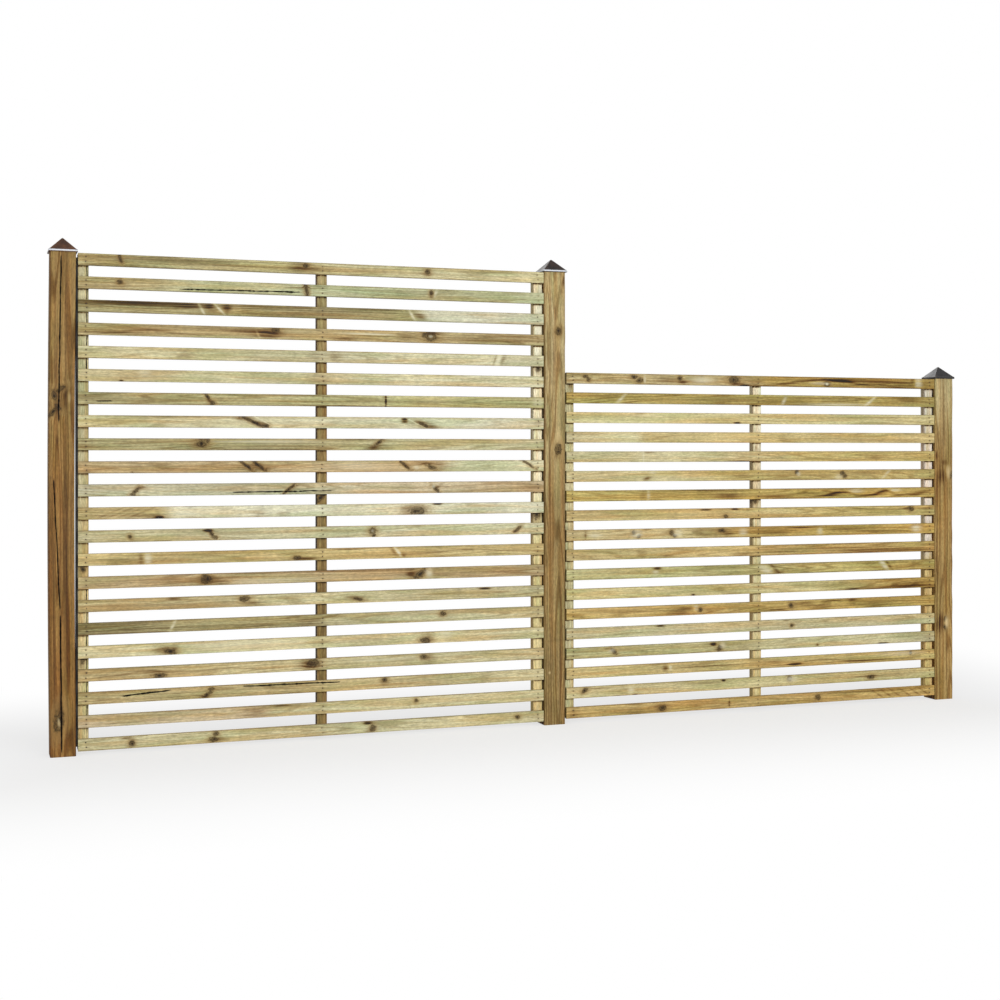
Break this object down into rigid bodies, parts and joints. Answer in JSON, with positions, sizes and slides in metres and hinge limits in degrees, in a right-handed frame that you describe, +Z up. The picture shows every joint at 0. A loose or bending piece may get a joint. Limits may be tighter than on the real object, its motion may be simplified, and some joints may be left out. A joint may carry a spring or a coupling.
{
  "type": "louvred fence run",
  "caption": "Slatted timber fence run: a tall and a low louvred panel, horizontal slats nailed to upright battens, screwed between square posts with pyramid caps.",
  "frame": {"origin": "on the ground, midway between the two end posts, on the posts' centre plane", "axes": "+X along the fence from the tall panel to the low one, -Y out of the slatted face, +Z up"},
  "size_m": [3.85, 0.102, 1.871],
  "materials": {
    "slat_timber": "planed, pressure-treated, pale green-brown",
    "batten_timber": "planed, pressure-treated",
    "post_timber": "planed, pressure-treated, brown",
    "packer_timber": "rough sawn, stained dark",
    "cap_bronze": "dark bronze, satin gloss",
    "zinc_steel": "zinc plated"
  },
  "bodies": {
    "root": {"tall_slat_01": "slat_timber", "tall_slat_02": "slat_timber", "tall_slat_03": "slat_timber", "tall_slat_04": "slat_timber", "tall_slat_05": "slat_timber", "tall_slat_06": "slat_timber", "tall_slat_07": "slat_timber", "tall_slat_08": "slat_timber", "tall_slat_09": "slat_timber", "tall_slat_10": "slat_timber", "tall_slat_11": "slat_timber", "tall_slat_12": "slat_timber", "tall_slat_13": "slat_timber", "tall_slat_14": "slat_timber", "tall_slat_15": "slat_timber", "tall_slat_16": "slat_timber", "tall_slat_17": "slat_timber", "tall_slat_18": "slat_timber", "tall_slat_19": "slat_timber", "tall_slat_20": "slat_timber", "tall_slat_21": "slat_timber", "tall_slat_22": "slat_timber", "low_slat_01": "slat_timber", "low_slat_02": "slat_timber", "low_slat_03": "slat_timber", "low_slat_04": "slat_timber", "low_slat_05": "slat_timber", "low_slat_06": "slat_timber", "low_slat_07": "slat_timber", "low_slat_08": "slat_timber", "low_slat_09": "slat_timber", "low_slat_10": "slat_timber", "low_slat_11": "slat_timber", "low_slat_12": "slat_timber", "low_slat_13": "slat_timber", "low_slat_14": "slat_timber", "low_slat_15": "slat_timber", "low_slat_16": "slat_timber", "low_slat_17": "slat_timber", "low_slat_18": "slat_timber", "tall_left_batten": "batten_timber", "tall_middle_batten": "batten_timber", "tall_right_batten": "batten_timber", "low_left_batten": "batten_timber", "low_middle_batten": "batten_timber", "low_right_batten": "batten_timber", "left_post": "post_timber", "middle_post": "post_timber", "right_post": "post_timber", "left_cap": "cap_bronze", "middle_cap": "cap_bronze", "right_cap": "cap_bronze", "tall_packer": "packer_timber", "low_packer": "packer_timber", "batten_screws": "zinc_steel"}
  },
  "joints": []
}
